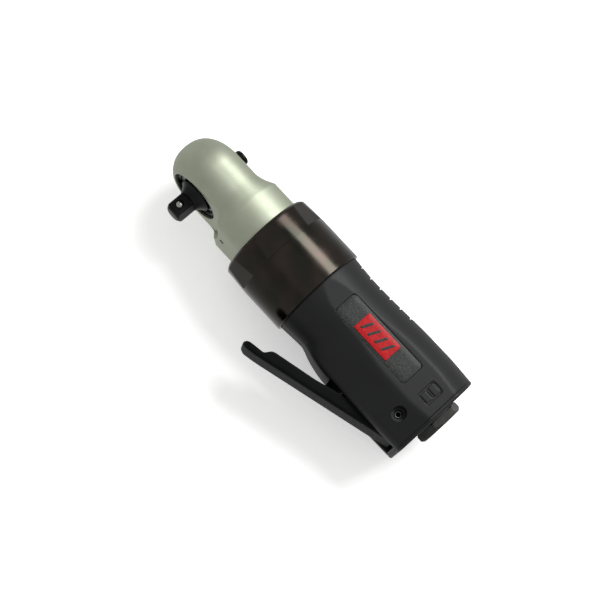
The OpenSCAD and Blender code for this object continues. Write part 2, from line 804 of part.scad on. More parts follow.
head_housing();
grease_plug();
anvil();
detent_ball();
detent_spring();
retaining_ring();
thrust_washer();
reversing_knob();
pawl();
pawl_pin();
pawl_plunger();
pawl_spring();
yoke();
drive_bushing();
crankshaft();
planet_pin(0);  // planet_pin_1
planet_pin(1);  // planet_pin_2
planet_pin(2);  // planet_pin_3
planet_gear(0);  // planet_gear_1
planet_gear(1);  // planet_gear_2
planet_gear(2);  // planet_gear_3
ring_gear();
crank_bearing_carrier();
crank_bearing_outer();
crank_bearing_inner();
clamp_nut();
front_end_plate();
front_bearing_outer();
front_bearing_inner();
cylinder_liner();
liner_pin();
rotor();
vane(0);  // vane_1
vane(1);  // vane_2
vane(2);  // vane_3
vane(3);  // vane_4
vane(4);  // vane_5
rear_end_plate();
rear_bearing_outer();
rear_bearing_inner();
motor_housing();
valve_bushing();
plunger_seal();
throttle_plunger();
throttle_valve();
valve_spring();
grip_housing();
name_plate();
badge();
throttle_lever();
lever_pin();
exhaust_muffler();
rear_cap();
inlet_bushing();
inlet_seal();
inlet_screen();
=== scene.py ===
import json
import math

import bmesh
import bpy
import numpy as np
from mathutils import Matrix, Vector

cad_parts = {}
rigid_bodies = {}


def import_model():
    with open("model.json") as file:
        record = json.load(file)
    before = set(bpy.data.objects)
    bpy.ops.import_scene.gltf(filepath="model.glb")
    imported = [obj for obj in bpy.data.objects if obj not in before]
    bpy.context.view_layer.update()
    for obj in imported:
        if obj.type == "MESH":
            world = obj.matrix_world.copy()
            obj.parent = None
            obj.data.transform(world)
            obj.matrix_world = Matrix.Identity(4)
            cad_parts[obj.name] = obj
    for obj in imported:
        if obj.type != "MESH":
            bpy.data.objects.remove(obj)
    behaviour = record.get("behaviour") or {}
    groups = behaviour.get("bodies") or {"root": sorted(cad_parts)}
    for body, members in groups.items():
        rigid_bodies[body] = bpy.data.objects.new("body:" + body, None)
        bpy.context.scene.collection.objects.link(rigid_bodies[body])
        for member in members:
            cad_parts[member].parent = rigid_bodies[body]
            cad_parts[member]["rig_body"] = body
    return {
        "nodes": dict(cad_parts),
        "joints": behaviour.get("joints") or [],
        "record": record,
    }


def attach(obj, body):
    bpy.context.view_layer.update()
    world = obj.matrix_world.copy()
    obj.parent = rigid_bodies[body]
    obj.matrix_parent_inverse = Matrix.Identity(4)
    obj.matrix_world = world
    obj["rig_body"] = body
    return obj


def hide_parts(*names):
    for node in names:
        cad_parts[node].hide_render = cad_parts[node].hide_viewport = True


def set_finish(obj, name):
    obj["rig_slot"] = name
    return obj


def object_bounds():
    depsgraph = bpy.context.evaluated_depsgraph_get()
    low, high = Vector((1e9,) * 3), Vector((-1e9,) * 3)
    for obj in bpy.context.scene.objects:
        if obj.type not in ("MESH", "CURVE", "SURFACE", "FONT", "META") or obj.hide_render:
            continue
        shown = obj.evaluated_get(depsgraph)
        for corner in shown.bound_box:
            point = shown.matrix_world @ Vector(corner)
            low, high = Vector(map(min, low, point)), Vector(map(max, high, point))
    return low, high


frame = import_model()
cadBox = [list(corner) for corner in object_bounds()]
nodes = frame["nodes"]
joints = {j["name"]: j for j in frame["joints"]}
print("frame loaded:", len(nodes), "CAD nodes")

# Everything below is drawn in millimetres about the tool axis, with x measured from the drive axis.
toolAxisY = joints["rotor_spin"]["pos_m"][1] * 1000


def toFrame(points):
    # millimetres about the tool axis to metres in the row frame
    return (np.asarray(points, float) + (0, toolAxisY, 0)) / 1000


camera = {
    "target": (0.0548, 0.0055, 0.0),     # point at the middle of the picture
    "towards": (0.099, -0.266, 0.959),   # from the object to the camera
    "distance": 0.55,
    "lens": 90,
    "sensor": 36,
    "axisSlope": 47.1,                   # degrees that the tool's axis falls to the right
}


def addCamera(s):
    back = Vector(s["towards"]).normalized()
    along = Vector((1, 0, 0)) - back * back.x
    along.normalize()
    across = back.cross(along)
    slope = math.radians(s["axisSlope"])
    right = along * math.cos(slope) + across * math.sin(slope)
    up = across * math.cos(slope) - along * math.sin(slope)
    data = bpy.data.cameras.new("camera")
    data.lens = s["lens"]
    data.sensor_width = s["sensor"]
    data.clip_end = 10
    obj = bpy.data.objects.new("camera", data)
    bpy.context.scene.collection.objects.link(obj)
    turn = Matrix((right, up, back)).transposed().to_4x4()
    obj.matrix_world = Matrix.Translation(Vector(s["target"]) + back * s["distance"]) @ turn
    bpy.context.scene.camera = obj


addCamera(camera)
print("camera placed")


def colour(hexText):
    # sRGB hex to the linear colour that the shader wants
    parts = [int(hexText[i:i + 2], 16) / 255 for i in (0, 2, 4)]
    return tuple(p / 12.92 if p <= 0.04045 else ((p + 0.055) / 1.055) ** 2.4 for p in parts) + (1,)


def addNode(tree, kind, settings=None, links=None):
    # settings go to the node's own properties or, by name or number, to its sockets
    node = tree.nodes.new("ShaderNode" + kind)
    for key, value in (settings or {}).items():
        if isinstance(key, str) and hasattr(node, key):
            setattr(node, key, value)
        else:
            node.inputs[key].default_value = value
    for key, socket in (links or {}).items():
        tree.links.new(socket, node.inputs[key])
    return node


def newMaterial(name, settings):
    material = bpy.data.materials.new(name)
    material.use_nodes = True
    tree = material.node_tree
    tree.nodes.clear()
    shader = addNode(tree, "BsdfPrincipled", settings)
    addNode(tree, "OutputMaterial", None, {"Surface": shader.outputs[0]})
    place = addNode(tree, "TexCoord").outputs["Object"]
    return material, tree, shader, place


def noise(tree, place, size, detail=2.0, roughness=0.5, stretch=(1, 1, 1)):
    # soft noise whose blotches are about size millimetres across
    scale = [k * 1000 / size for k in stretch]
    spread = addNode(tree, "Mapping", {"Scale": scale}, {"Vector": place})
    return addNode(tree, "TexNoise", {"Scale": 1.0, "Detail": detail, "Roughness": roughness},
                   {"Vector": spread.outputs[0]}).outputs["Fac"]


def between(tree, factor, low, high, fromLow=0.3, fromHigh=0.7):
    # a value that goes from low to high as the factor goes from fromLow to fromHigh
    return addNode(tree, "MapRange", {"From Min": fromLow, "From Max": fromHigh,
                                      "To Min": low, "To Max": high}, {"Value": factor}).outputs[0]


def shades(tree, factor, dark, light, fromLow=0.3, fromHigh=0.7):
    ramp = addNode(tree, "ValToRGB", None, {"Fac": factor})
    ramp.color_ramp.elements[0].position = fromLow
    ramp.color_ramp.elements[0].color = colour(dark)
    ramp.color_ramp.elements[1].position = fromHigh
    ramp.color_ramp.elements[1].color = colour(light)
    return ramp.outputs[0]


def look(name, settings, noises, colours, gloss=None, relief=None):
    # noises lists what noise() is given; the others start with a place in that list: colours goes
    # on with dark and light, gloss with low and high roughness, relief with a depth in millimetres
    material, tree, shader, place = newMaterial(name, settings)
    made = [noise(tree, place, *values) for values in noises]
    tree.links.new(shades(tree, made[colours[0]], *colours[1:]), shader.inputs["Base Color"])
    if gloss:
        tree.links.new(between(tree, made[gloss[0]], *gloss[1:]), shader.inputs["Roughness"])
    if relief:
        bump(tree, shader, made[relief[0]], relief[1])
    return material


def bump(tree, shader, height, depth):
    node = addNode(tree, "Bump", {"Strength": 1.0, "Distance": depth / 1000}, {"Height": height})
    tree.links.new(node.outputs[0], shader.inputs["Normal"])


def metal(name, dark, light, roughness, grain, relief, stretch=(1, 1, 1)):
    # plain metal: slow shade changes over 6 mm, and a fine grain that moves gloss and relief
    return look(name, {"Metallic": 1.0, "Roughness": roughness},
                [(6.0, 3.0), (grain, 2.0, 0.6, stretch)], (0, dark, light),
                (1, roughness - 0.05, roughness + 0.05), (1, relief))


def phenolicLaminate():
    # Cotton and phenolic resin, sawn: brown, with the cloth's 0.5 mm weave showing.
    material, tree, shader, place = newMaterial("phenolicLaminate", {"Roughness": 0.5})
    weave = addNode(tree, "TexWave", {"Scale": 320.0, "Distortion": 1.5, "Detail": 2.0},
                    {"Vector": place}).outputs["Fac"]
    tree.links.new(shades(tree, weave, "6b4426", "8a5c36", 0.2, 0.8), shader.inputs["Base Color"])
    bump(tree, shader, weave, 0.02)
    return material


def studioPaper():
    # Matt white studio paper with a trace of fibre.
    return look("studioPaper", {"Roughness": 0.9, "Emission Color": (1, 1, 1, 1),
                                "Emission Strength": 0.4}, [(3.0, 4.0)], (0, "f6f6f5", "f9f9f8"))


finishes = {
    # Alloy steel head, bead blasted and satin plated: a pale greenish silver with a soft wide
    # highlight and a pebble grain. The grain is 0.05 mm and drawn at 0.35 mm so that it shows.
    "blasted_steel": look("blastedSteel", {"Metallic": 1.0, "Roughness": 0.52},
                          [(9.0, 3.0), (0.35, 3.0, 0.6)], (0, "a5ab98", "b0b5a4"),
                          (1, 0.48, 0.58), (1, 0.010)),
    # Turned steel, hot blackened and oiled: glossy, near black with a warm brown cast, and faint
    # rings from the lathe. The feed is 0.15 mm and drawn at 0.4 mm so that it shows.
    "blackened_nut_steel": look("blackenedNutSteel", {"Metallic": 1.0, "Roughness": 0.2},
                                [(9.0,), (0.4, 2.0, 0.6, (1, 0.02, 0.02))],
                                (0, "2a2b26", "3a332f"), (0, 0.16, 0.25), (1, 0.0006)),
    # hot alkaline black oxide over ground steel: satin black with grey lights
    "black_oxide_steel": metal("blackOxideSteel", "1d1e1e", "282928", 0.36, 0.35, 0.006),
    "black_oxide_inlet": metal("blackOxideInlet", "30312f", "3f403e", 0.40, 0.35, 0.008),
    # cylindrical grinding: fine lines round the axis, 0.1 mm apart and drawn at 0.3 mm
    "ground_steel": metal("groundSteel", "9a9b9a", "b0b1b0", 0.3, 0.3, 0.003, (1, 0.05, 0.05)),
    # lapped bearing steel: near mirror, a little streaked
    "polished_steel": metal("polishedSteel", "a2a39c", "b2b3ac", 0.24, 0.5, 0.001),
    # drawn, tempered and phosphated: dark grey with lengthwise lines
    "spring_steel": metal("springSteel", "3c3d3e", "515253", 0.32, 0.3, 0.004),
    # turned and milled alloy: light grey with tool lines 0.2 mm apart
    "machined_alloy": metal("machinedAlloy", "a8aaab", "bcbebe", 0.34, 0.4, 0.005, (1, 0.05, 0.05)),
    # sintered bronze: dull brown-gold with open pores, 0.3 mm
    "bearing_bronze": metal("bearingBronze", "8d6a3c", "a67f4a", 0.45, 0.3, 0.03),
    "sintered_bronze": metal("sinteredBronze", "8a6c44", "a08052", 0.55, 0.6, 0.12),
    # free-cutting brass, turned: yellow with fine rings
    "brass": metal("turnedBrass", "b08d4c", "c7a35c", 0.28, 0.3, 0.004, (0.05, 1, 0.05)),
    # Moulded nitrile: dull black with a faint bloom.
    "seal_rubber": look("sealRubber", {"Roughness": 0.7}, [(1.5, 3.0)], (0, "161616", "222222"),
                        None, (0, 0.01)),
    # Glass-filled nylon, moulded in a spark-eroded tool: matt black with a fine even grain.
    # The grain is 0.06 mm and drawn at 0.3 mm so that it shows.
    "moulded_nylon": look("mouldedNylon", {"Roughness": 0.5, "Specular IOR Level": 0.3},
                          [(12.0,), (0.3, 2.0, 0.55)], (0, "0b0e0c", "101311"),
                          (1, 0.45, 0.57), (1, 0.02)),
    # Printed polyester plate with a sanded face: charcoal with pale specks 0.25 mm across.
    "plate_film": look("plateFilm", {"Roughness": 0.5, "Specular IOR Level": 0.35},
                       [(0.45, 2.0, 0.7)], (0, "0e1110", "3e433f", 0.45, 0.72), None, (0, 0.03)),
    # Screen-printed enamel ink: strong red, slightly glossy, with a grain from the mesh.
    "red_badge": look("redBadge", {"Roughness": 0.42, "Specular IOR Level": 0.2},
                      [(0.5, 2.0, 0.6)], (0, "860c12", "c4161c"), None, (0, 0.012)),
    # Steel pressing with black powder coat: satin, with the coat's slight orange peel, 1.2 mm.
    "lever_paint": look("leverPaint", {"Roughness": 0.5, "Specular IOR Level": 0.06},
                        [(1.2,), (8.0,)], (1, "050706", "0a0d0b"), (0, 0.45, 0.55), (0, 0.02)),
    "phenolic_laminate": phenolicLaminate(),
}
slotOf = {s["node"]: s["material_slot"] for s in frame["record"]["subparts"]}
for name, node in nodes.items():
    node.data.materials.clear()
    node.data.materials.append(finishes[slotOf[name]])
print("materials made:", len(finishes))


def gridFaces(rows, columns, start, wrap):
    # quads between neighbouring points, row by row; wrap joins the last column to the first
    last = columns if wrap else columns - 1
    i, j = np.meshgrid(np.arange(rows - 1), np.arange(last), indexing="ij")
    k = (j + 1) % columns
    corners = (i * columns + j, i * columns + k, (i + 1) * columns + k, (i + 1) * columns + j)
    return start + np.stack(corners, -1).reshape(-1, 4)


def newPiece(name, grids, slot, body, replaced=(), smooth=0, sharp=32.0):
    # one closed mesh from grids of points (rows, columns, 3) that meet edge to edge
    points, faces, start = [], [], 0
    for grid, wrap in grids:
        rows, columns = grid.shape[:2]
        points.append(grid.reshape(-1, 3))
        faces.append(gridFaces(rows, columns, start, wrap))
        start += rows * columns
    mesh = bpy.data.meshes.new(name)
    mesh.from_pydata(toFrame(np.concatenate(points)).tolist(), [], np.concatenate(faces).tolist())
    work = bmesh.new()
    work.from_mesh(mesh)
    bmesh.ops.remove_doubles(work, verts=work.verts, dist=3e-6)
    bmesh.ops.dissolve_degenerate(work, edges=work.edges, dist=1e-7)
    bmesh.ops.recalc_face_normals(work, faces=work.faces)
    work.to_mesh(mesh)
    work.free()
    mesh.shade_smooth()
    mesh.set_sharp_from_angle(angle=math.radians(sharp))
    mesh.materials.append(finishes[slot])
    obj = bpy.data.objects.new(name, mesh)
    bpy.context.scene.collection.objects.link(obj)
    if smooth:
        modifier = obj.modifiers.new("smooth", "SUBSURF")
        modifier.levels = smooth
        modifier.render_levels = smooth
    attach(obj, body)
    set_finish(obj, slot)
    if replaced:
        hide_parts(*replaced)
    return obj


def cutWith(obj, grid, sharp):
    # takes the closed shape of a grid out of a piece
    cutter = newPiece(obj.name + "Cutter", [(grid, True)], obj["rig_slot"], obj["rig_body"])
    modifier = obj.modifiers.new("cut", "BOOLEAN")
    modifier.operation = "DIFFERENCE"
    modifier.solver = "EXACT"
    modifier.object = cutter
    view = bpy.context.evaluated_depsgraph_get()
    mesh = bpy.data.meshes.new_from_object(obj.evaluated_get(view))
    obj.modifiers.clear()
    # a cut leaves slivers: points closer than 2 micrometres are merged and flat faces dissolved
    work = bmesh.new()
    work.from_mesh(mesh)
    bmesh.ops.remove_doubles(work, verts=work.verts, dist=2e-6)
    bmesh.ops.dissolve_degenerate(work, edges=work.edges, dist=2e-6)
    bmesh.ops.triangulate(work, faces=[f for f in work.faces if len(f.verts) > 4])
    seen = {}
    for face in work.faces:
        seen.setdefault(frozenset(v.index for v in face.verts), []).append(face)
    double = [face for same in seen.values() if len(same) > 1 for face in same]
    bmesh.ops.delete(work, geom=double, context="FACES")
    work.to_mesh(mesh)
    work.free()
    mesh.shade_smooth()
    mesh.set_sharp_from_angle(angle=math.radians(sharp))
    obj.data = mesh
    bpy.data.objects.remove(cutter)


def rounded(corners, radii, steps=3):
    # a polyline whose corners become arcs: an arc of radius r leaves and meets the two sides at
    # r tan(turn / 2) from the corner, shortened where a side is too short
    corners = np.asarray(corners, float)
    radii = np.broadcast_to(radii, len(corners))
    path = [corners[0]]
    for before, here, after, r in zip(corners[:-2], corners[1:-1], corners[2:], radii[1:-1]):
        a, b = before - here, after - here
        lengthA, lengthB = np.linalg.norm(a), np.linalg.norm(b)
        a, b = a / lengthA, b / lengthB
        half = math.acos(max(-1, min(1, float(a @ b)))) / 2
        if r <= 0 or half > math.pi / 2 - 0.02:
            path.append(here)
            continue
        reach = min(r / math.tan(half), 0.45 * lengthA, 0.45 * lengthB)
        middle = (a + b) / np.linalg.norm(a + b)
        centre = here + middle * reach / math.cos(half)
        start, end = here + a * reach, here + b * reach
        for t in np.linspace(0, 1, steps + 1):
            spoke = (start - centre) * (1 - t) + (end - centre) * t
            path.append(centre + spoke * reach * math.tan(half) / np.linalg.norm(spoke))
    path.append(corners[-1])
    return np.array(path)


def closedLoop(corners, radii, steps=3):
    # a rounded closed outline that starts and ends at the same point, half way along its first side
    corners = np.asarray(corners, float)
    start = (corners[0] + corners[1]) / 2
    radii = np.broadcast_to(radii, len(corners))
    ring = np.concatenate([[start], corners[1:], corners[:1], [start]])
    return rounded(ring, np.concatenate([[0], radii[1:], radii[:1], [0]]), steps)


def turnedX(profile, columns, radiusOf):
    # profile points [place along x, radius] turned about the tool axis; radiusOf reshapes them
    angle = circle(columns)
    x, radius = profile[:, :1] + 0 * angle, profile[:, 1:] + 0 * angle
    return aroundX(x, radiusOf(x, radius, angle), angle)


def turnedY(profile, columns, centre=(0, 0)):
    # profile points [place along y, radius] turned about an axis along y
    return aroundY(profile[:, :1], profile[:, 1:], circle(columns), centre)


def circle(count):
    # angles all the way round, without the last one
    return np.linspace(0, 2 * np.pi, count, endpoint=False)


def aroundX(x, radius, angle):
    # points about the tool axis, at angles from +Y towards +Z
    return np.stack([x + 0 * angle, radius * np.cos(angle), radius * np.sin(angle)], -1)


def aroundY(y, radius, angle, centre=(0, 0)):
    # points about an axis along y, at angles from +Z towards +X
    return np.stack([centre[0] + radius * np.sin(angle), y + 0 * angle,
                     centre[1] + radius * np.cos(angle)], -1)


def step(value, low, high):
    # smooth step from 0 at low to 1 at high
    t = np.clip((value - low) / (high - low), 0, 1)
    return t * t * (3 - 2 * t)


def spaced(marks, pitch):
    # values through all marks with no gap above pitch
    marks = sorted(set(marks))
    parts = [np.linspace(a, b, max(1, math.ceil((b - a) / pitch - 1e-6)), endpoint=False)
             for a, b in zip(marks[:-1], marks[1:])]
    return np.concatenate(parts + [np.array(marks[-1:])])


nut = {
    "bore": 17.0, "thread": 17.9, "shoulder": 38.15,
    "front": 28.1, "end": 57.36,
    "rise": 39.1,           # where the outside becomes a plain cylinder
    "noseRadius": 19.05, "radius": 19.65,
    "flat": 18.75,          # from the axis to each wrench flat
    "flatEnd": 38.1, "flatHalf": 6.1, "flatTurn": 14.0, "flatCorner": 1.2,
}


def makeNut(s):
    # a turned ring; inside a flat's outline the radius is no more than flat / cos(angle from it)
    outline = closedLoop([[s["shoulder"], s["bore"]], [s["front"], s["bore"]], [s["front"], 18.15],
                          [s["front"] + 0.9, s["noseRadius"]], [s["rise"], s["radius"]],
                          [s["end"], s["radius"]], [s["end"], s["thread"]],
                          [s["shoulder"], s["thread"]]],
                         [0, 0.4, 0.3, 0.5, 3, 0.45, 0.2, 0])
    marks = np.r_[spaced([30, 37.4], 0.8), np.linspace(37.5, 38.4, 10)]
    outer = np.stack([marks, np.interp(marks, [s["front"] + 0.9, s["rise"]],
                                       [s["noseRadius"], s["radius"]])], -1)
    split = np.argmax(outline[:, 0] + (outline[:, 1] > 18.9) * 100 > 129.6)
    outline = np.concatenate([outline[:split], outer[outer[:, 0] < outline[split, 0]],
                              outline[split:]])

    def radiusOf(x, radius, angle):
        sixth = np.pi / 3
        turn = (angle - np.pi / 2 - math.radians(s["flatTurn"]) + sixth / 2) % sixth - sixth / 2
        flat = s["flat"] / np.cos(turn)
        across = np.abs(radius * np.sin(turn))
        corner = s["flatCorner"]
        overX = np.maximum(x - s["flatEnd"] + corner, 0)
        overSide = np.maximum(across - s["flatHalf"] + corner, 0)
        inside = 1 - step(np.hypot(overX, overSide) - corner, -0.12, 0.06)
        cut = np.where(radius > s["flat"], radius - flat, 0)
        return radius - np.maximum(cut, 0) * inside

    newPiece("clampNut", [(turnedX(outline, 576, radiusOf), True)], "blackened_nut_steel",
             "tool_body", ["clamp_nut"])


makeNut(nut)
print("clamp nut made")


handle = {
    "start": 57.4, "end": 118.23,
    # stations: x, back radius, side, belly depth, belly half width, corner radius
    "stations": np.array([
        [57.4, 18.65, 18.65, 18.0, 5.0, 4.5], [66, 18.0, 17.3, 17.6, 6.0, 4.5],
        [69.5, 17.95, 17.3, 18.0, 7.0, 4.5], [73, 18.0, 17.3, 19.3, 7.5, 4.3],
        [80, 18.2, 17.3, 20.4, 8.5, 4.2], [94, 18.9, 17.3, 20.7, 10.0, 4.3],
        [109, 19.0, 17.3, 20.7, 12.0, 4.5], [118.23, 18.5, 17.3, 20.5, 12.0, 4.5]]),
    "blend": 2.4,           # stations melt into each other over this length
    "edge": 4.0,            # rounding where the flat sides meet the back
    "side": 17.3,
    "plate": (67.4, 103.4, 5.2, 0.6, 1.8),      # from x, to x, half width, depth, corner
    "icon": (109.2, 114.8, 4.3, 0.4, 1.4),
    "ribs": {"from": 61.2, "pitch": 5.15, "width": 0.9, "count": 6, "depth": 0.55, "half": 9.5},
    "slotHalf": 6.4, "slotRadius": 20.4, "slotStart": 84.0, "slotDeep": 98.6, "slotEnd": 117.2,
    "slotFloor": -16.1, "slotDeepFloor": -9.5,
    "pivot": (109.8, -12.7, 2.7, 12.9),         # x, y, countersink radius, its floor
    "pinRadius": 1.62,
    # x, radius, distance of a flat below the axis
    "bores": [(57.4, 16.05, 99), (86.05, 16.05, 99), (86.05, 14.55, 99), (98.2, 14.55, 99),
              (98.2, 14.55, 8.65), (110.05, 14.55, 8.65), (110.05, 14.2, 7.6), (118.23, 14.2, 7.6)],
}


def handleSizes(s, x):
    # the station sizes at x, averaged over a short length so that no crease is left
    shifts = np.linspace(-s["blend"], s["blend"], 9)
    low, high = s["start"], s["end"]
    return [np.mean([np.interp(np.clip(x + k * np.minimum(1, (x - low) / s["blend"]), low, high),
                               s["stations"][:, 0], s["stations"][:, n]) for k in shifts], 0)
            for n in range(1, 6)]


def handleRadius(s, x, angle):
    # distance from the axis to the convex skin, at an angle from +Y towards +Z: the least, over
    # all normals, of the support distance over the cosine between the normal and the angle
    back, side, belly, half, corner = [v[:, None] for v in handleSizes(s, x)]
    normal = np.radians(np.arange(0, 181, 1.0))[None, :]
    ny, nz = np.cos(normal), np.sin(normal)
    edge = s["edge"]
    inBack, inSide = back - edge, side - edge
    cornerY = np.sqrt(np.maximum(inBack ** 2 - np.minimum(inSide, inBack) ** 2, 0))
    onArc = np.arctan2(np.minimum(inSide, inBack), cornerY)
    arc = np.where(normal <= onArc, inBack,
                   np.where(normal >= np.pi - onArc, inBack,
                            np.minimum(inSide, inBack) * nz + cornerY * np.abs(ny))) + edge
    bottom = (corner - belly) * ny + (half - corner) * nz + corner
    support = np.maximum(arc, bottom)
    theta = np.abs((angle + np.pi) % (2 * np.pi) - np.pi)[None, :, None]
    cosine = np.cos(normal[:, None, :] - theta)
    reach = np.where(cosine > 0.05, support[:, None, :] / np.maximum(cosine, 0.05), 1e3)
    return reach.min(-1)


def roundedWindow(x, y, window, soft=0.16):
    # 1 inside a rounded rectangle on the side, 0 outside, with a steep smooth edge
    fromX, toX, half, _, corner = window
    overX = np.abs(x - (fromX + toX) / 2) - (toX - fromX) / 2 + corner
    overY = np.abs(y) - half + corner
    distance = np.hypot(np.maximum(overX, 0), np.maximum(overY, 0)) - corner \
        + np.minimum(np.maximum(overX, overY), 0)
    return 1 - step(distance, -soft, 0.02)


def makeHandle(s):
    ribs = s["ribs"]
    ribEdges = [ribs["from"] + ribs["pitch"] * i + e for i in range(ribs["count"])
                for e in (0.0, 0.18, ribs["width"] - 0.18, ribs["width"])]
    marks = [s["start"], s["start"] + 0.35, s["end"] - 0.25, s["end"], s["pivot"][0]]
    for edge in (s["plate"][0], s["plate"][1], s["icon"][0], s["icon"][1]):
        marks += [edge - 0.16, edge, edge + 0.16]
    x = spaced(marks + ribEdges, 0.55)
    for wall in (s["slotStart"], s["slotDeep"], s["slotEnd"]):
        x = x[np.abs(x - wall) > 0.3]
        x = np.sort(np.r_[x, wall - 0.2, wall - 0.004, wall + 0.004, wall + 0.2])
    # the side is cut in lines that lie at fixed y where it is flat
    lines = spaced([-7.8, -5.36, -5.2, -5.04, -4.46, -4.3, -4.14, 0, 4.14, 4.3, 4.46, 5.04, 5.2,
                    5.36, 7.8], 0.55)
    sideAngles = np.arctan2(s["side"], lines[::-1])
    ribAngle = math.atan2(ribs["half"], 17.0)
    backAngles = spaced([0, ribAngle - 0.01, ribAngle, ribAngle + 0.01, sideAngles[0]], 0.032)[:-1]
    slotAngle = np.pi - math.atan2(s["slotHalf"], s["slotRadius"])
    lowAngles = spaced([sideAngles[-1], slotAngle], 0.034)[1:]
    outside = np.r_[backAngles, sideAngles, lowAngles]
    wallSteps, floorSteps = 9, 8
    radius = handleRadius(s, x, outside)
    y = radius * np.cos(outside)
    z = radius * np.sin(outside)
    # front and back ends are slightly rounded over
    endRound = np.minimum(step(x, s["start"] - 0.2, s["start"] + 0.35),
                          step(-x, -s["end"] - 0.2, -s["end"] + 0.25))
    shrink = 1 - 0.012 * (1 - endRound)[:, None]
    y, z = y * shrink, z * shrink
    xx = x[:, None] + 0 * y
    # grooves across the back, on both halves
    groove = np.zeros_like(y)
    for i in range(ribs["count"]):
        a = ribs["from"] + ribs["pitch"] * i
        b = a + ribs["width"]
        groove = np.maximum(groove, step(xx, a, a + 0.18) * (1 - step(xx, b - 0.18, b)))
    groove *= 1 - step(np.abs(z), ribs["half"] - 0.25, ribs["half"])
    deeper = np.where(y > 0, 1 - groove * ribs["depth"] / 18, 1)
    y, z = y * deeper, z * deeper
    half = np.stack([xx, y, z], -1)
    nameSide = half.copy()
    for window in (s["plate"], s["icon"]):
        deep = roundedWindow(xx, y, window) * window[3]
        nameSide[..., 2] -= np.where(z > s["side"] - 0.5, deep, 0)
    farSide = half * (1, 1, -1)
    # the underside: a wall from the skin down to the slot's floor, and the floor to the middle
    floor = np.where((x > s["slotStart"]) & (x < s["slotDeep"]), s["slotFloor"],
                     np.where((x > s["slotDeep"]) & (x < s["slotEnd"]), s["slotDeepFloor"], -99.0))
    bellyY = half[:, -1, 1]
    isSlot = floor > -90
    down = np.r_[0.02, 0.06, np.linspace(0.14, 0.92, wallSteps - 4), 0.97, 1.0]
    wallY = np.where(isSlot[:, None], bellyY[:, None] + (floor - bellyY)[:, None] * down, 0)
    wallZ = np.where(isSlot[:, None], s["slotHalf"], 0) + 0 * down
    share = np.linspace(1, 0.45, wallSteps + 1)[1:]
    flatAngle = np.arctan2(s["slotHalf"] * share, s["slotRadius"])
    flatReach = handleRadius(s, x, np.pi - flatAngle)
    flatZ, flatY = flatReach * np.sin(flatAngle), -flatReach * np.cos(flatAngle)
    wallY = np.where(isSlot[:, None], wallY, flatY)
    wallZ = np.where(isSlot[:, None], wallZ, flatZ)
    inward = np.linspace(1, 0, floorSteps + 1)[1:]
    floorZ = wallZ[:, -1:] * inward
    floorY = np.where(isSlot[:, None], floor[:, None], wallY[:, -1:]) + 0 * inward
    under = np.stack([x[:, None] + 0 * np.c_[wallY, floorY], np.c_[wallY, floorY],
                      np.c_[wallZ, floorZ]], -1)
    underFar = under[:, :-1][:, ::-1] * (1, 1, -1)
    skin = np.concatenate([nameSide, under, underFar, farSide[:, 1:][:, ::-1]], 1)
    # inside: bores of three sizes, with a flat over the deep part of the slot
    spokes = np.arctan2(skin[0, :, 2], skin[0, :, 1])

    def bore(at, size, flatDepth):
        limit = flatDepth / np.maximum(-np.cos(spokes), 1e-3)
        return aroundX(at, np.where(np.cos(spokes) < 0, np.minimum(size, limit), size), spokes)

    inner = np.stack([bore(*ring) for ring in s["bores"]])
    front = np.stack([skin[0], inner[0]])
    back = np.stack([skin[-1], inner[-1]])
    obj = newPiece("gripHousing", [(skin, True), (inner, True), (front, True), (back, True)],
                   "moulded_nylon", "tool_body", ["grip_housing"], sharp=38)
    pivotX, pivotY, sink, sinkFloor = s["pivot"]
    angle = circle(64)
    wall = np.array([[0, 22], [sink, 22], [sink, sinkFloor], [s["pinRadius"], sinkFloor],
                     [s["pinRadius"], 5], [0, 5]])
    for side in (1, -1):
        hole = np.stack([pivotX + wall[:, :1] * np.cos(angle), pivotY + wall[:, :1] * np.sin(angle),
                         side * wall[:, 1:] + 0 * angle], -1)
        cutWith(obj, hole, 38)


makeHandle(handle)
print("handle made")


head = {
    "noseRadius": 16.4, "halfDepth": 12.2, "power": 2.4,
    "shankRadius": 16.9, "shankFlat": 13.7,
    "rampStart": 9.8, "rampEnd": 17.4, "rampPower": 1.6,
    "face": -9.65, "facingRadius": 17.2,
    "seat": 11.4,
    "seatFade": 9, "faceFade": 19,      # the skin's rows are straight again from these x on
    "outlineEnd": 33.0,
    "openingProfile": [[-9.65, 10.6], [-8.7, 10.6], [-8.7, 11.4], [-7.65, 11.4], [-7.65, 10.6],
                       [-5.2, 10.6], [-5.2, 10.9], [5.2, 10.9], [5.2, 0]],
    "seatProfile": [[11.4, 5.1], [6.0, 5.1], [6.0, 0]],
    "rearProfile": [[33, 16.4], [38.2, 16.4], [38.2, 17.8], [42, 17.8], [42, 12.95],
                    [31.3, 12.95], [31.3, 12.0], [20, 12.0], [20, 0]],
    "dimple": (19.5, 1.05, -12.4),
}


def neckRadius(s, angle):
    # superellipse: |y / halfDepth| ^ power + |z / noseRadius| ^ power = 1
    y, z = np.abs(np.cos(angle)) / s["halfDepth"], np.abs(np.sin(angle)) / s["noseRadius"]
    return (y ** s["power"] + z ** s["power"]) ** (-1 / s["power"])


def headRadius(s, x, angle):
    # the neck's superellipse swells into a cylinder with two flats, whose edges are softly rounded
    flat = s["shankFlat"] / np.maximum(np.abs(np.cos(angle)), 1e-3)
    shank = (s["shankRadius"] ** -70.0 + flat ** -70.0) ** (-1 / 70)
    t = np.clip((x - s["rampStart"]) / (s["rampEnd"] - s["rampStart"]), 0, 1) ** s["rampPower"]
    neck = neckRadius(s, angle)
    return neck + (shank - neck) * t


